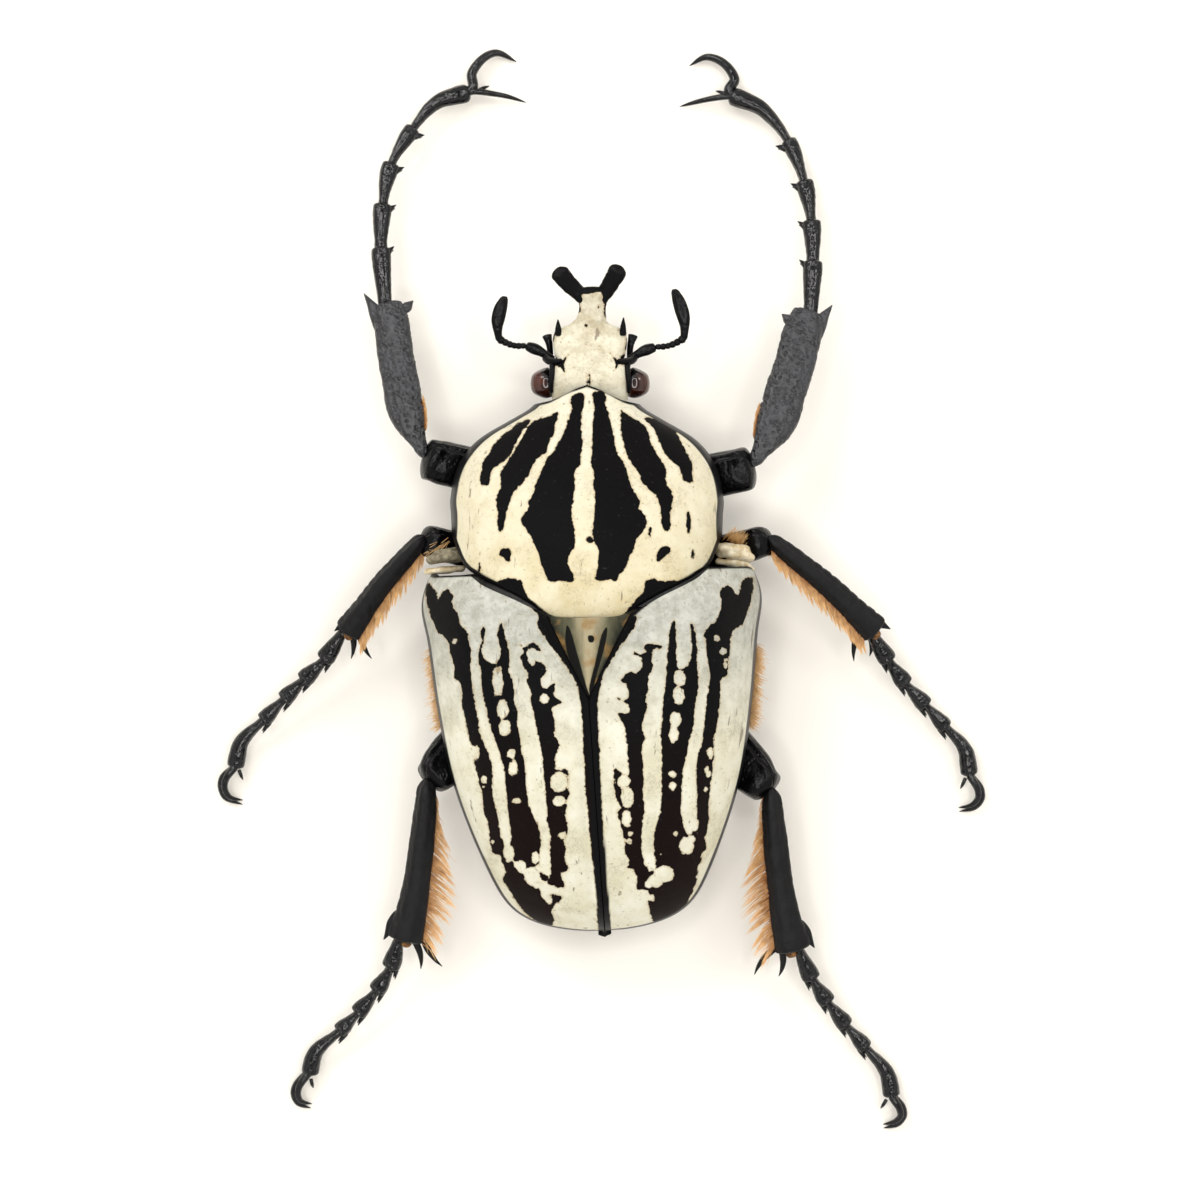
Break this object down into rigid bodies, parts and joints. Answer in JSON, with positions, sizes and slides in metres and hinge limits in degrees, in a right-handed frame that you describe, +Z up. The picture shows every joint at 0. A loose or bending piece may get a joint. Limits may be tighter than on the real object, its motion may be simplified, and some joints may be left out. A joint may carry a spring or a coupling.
{
  "type": "goliath beetle",
  "caption": "Goliath beetle, a dried male set with its legs spread: forked horn, cream and black striped pronotum and wing cases, black legs with hooked claws.",
  "frame": {"origin": "on the flat of the belly under the middle of the thorax, where the beetle lies on the ground", "axes": "+Y towards the horn, +X to the beetle's right side, +Z up from the belly to the back"},
  "size_m": [0.0933, 0.1314, 0.0259],
  "materials": {
    "pale_plate": "cream powdery scales over a smooth plate, with velvety black stripes",
    "wing_case": "grey-white to cream scales with velvety black stripes",
    "underside": "smooth black-brown horn",
    "eye": "polished red-brown",
    "tan_plate": "tan felted scales",
    "black_cuticle": "satin to polished black horn, pitted on the shins",
    "setae": "stiff orange hairs"
  },
  "bodies": {
    "root": {"head": "pale_plate", "pronotum": "pale_plate", "pygidium": "pale_plate", "elytron_left": "wing_case", "elytron_right": "wing_case", "scutellum": "wing_case", "thorax_front": "underside", "thorax_middle": "underside", "abdomen": "underside", "eye_left": "eye", "eye_right": "eye", "shoulder_plate_left": "tan_plate", "shoulder_plate_right": "tan_plate", "horn": "black_cuticle", "antenna_left": "black_cuticle", "antenna_right": "black_cuticle", "antenna_club_left": "black_cuticle", "antenna_club_right": "black_cuticle", "palp_left": "black_cuticle", "palp_right": "black_cuticle", "front_left_coxa": "black_cuticle", "front_left_femur": "black_cuticle", "front_left_tibia": "black_cuticle", "front_left_tarsus": "black_cuticle", "front_left_claws": "black_cuticle", "front_right_coxa": "black_cuticle", "front_right_femur": "black_cuticle", "front_right_tibia": "black_cuticle", "front_right_tarsus": "black_cuticle", "front_right_claws": "black_cuticle", "middle_left_coxa": "black_cuticle", "middle_left_femur": "black_cuticle", "middle_left_tibia": "black_cuticle", "middle_left_tarsus": "black_cuticle", "middle_left_claws": "black_cuticle", "middle_right_coxa": "black_cuticle", "middle_right_femur": "black_cuticle", "middle_right_tibia": "black_cuticle", "middle_right_tarsus": "black_cuticle", "middle_right_claws": "black_cuticle", "hind_left_coxa": "black_cuticle", "hind_left_femur": "black_cuticle", "hind_left_tibia": "black_cuticle", "hind_left_tarsus": "black_cuticle", "hind_left_claws": "black_cuticle", "hind_right_coxa": "black_cuticle", "hind_right_femur": "black_cuticle", "hind_right_tibia": "black_cuticle", "hind_right_tarsus": "black_cuticle", "hind_right_claws": "black_cuticle"}
  },
  "joints": []
}
